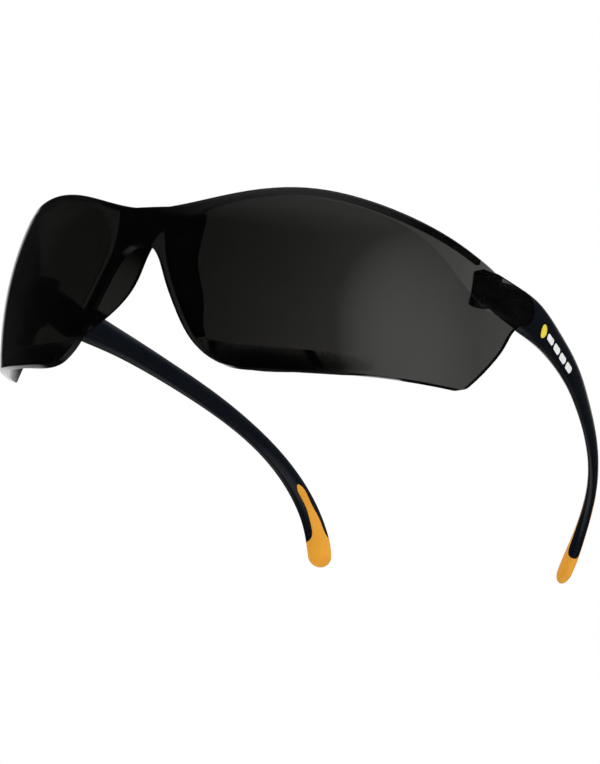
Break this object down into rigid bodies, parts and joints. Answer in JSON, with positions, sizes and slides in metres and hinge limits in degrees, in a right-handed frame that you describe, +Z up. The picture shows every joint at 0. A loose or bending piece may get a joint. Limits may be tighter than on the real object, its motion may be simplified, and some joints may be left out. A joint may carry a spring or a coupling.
{
  "type": "safety glasses",
  "caption": "Frameless wrap-around safety glasses: moulded smoke-tinted lens with integral nose bearing and hinge lugs, and folding arms with soft contrasting tips.",
  "frame": {"origin": "middle of the bridge's underside, at the top of the nose notch, in the middle of the lens wall", "axes": "+X to the wearer's left, +Y back towards the ears, +Z up as worn"},
  "size_m": [0.1384, 0.1503, 0.0542],
  "materials": {
    "smoke_lens": "polished smoke-tinted polycarbonate",
    "arm_plastic": "matte dark navy",
    "tip_rubber": "soft satin amber",
    "pin_steel": "satin"
  },
  "bodies": {
    "front": {"lens_shield": "smoke_lens", "hinge_pin_left": "pin_steel", "hinge_pin_right": "pin_steel"},
    "arm_left": {"temple_left": "arm_plastic", "temple_tip_left": "tip_rubber"},
    "arm_right": {"temple_right": "arm_plastic", "temple_tip_right": "tip_rubber"}
  },
  "joints": [
    {"name": "fold_left", "type": "hinge", "parent": "front", "child": "arm_left", "pos_m": [0.06127, 0.04285, 0.0041], "axis": [0, 0, 1], "range_deg": [0, 90]},
    {"name": "fold_right", "type": "hinge", "parent": "front", "child": "arm_right", "pos_m": [-0.06127, 0.04285, 0.0041], "axis": [0, 0, 1], "range_deg": [-78, 0]}
  ]
}
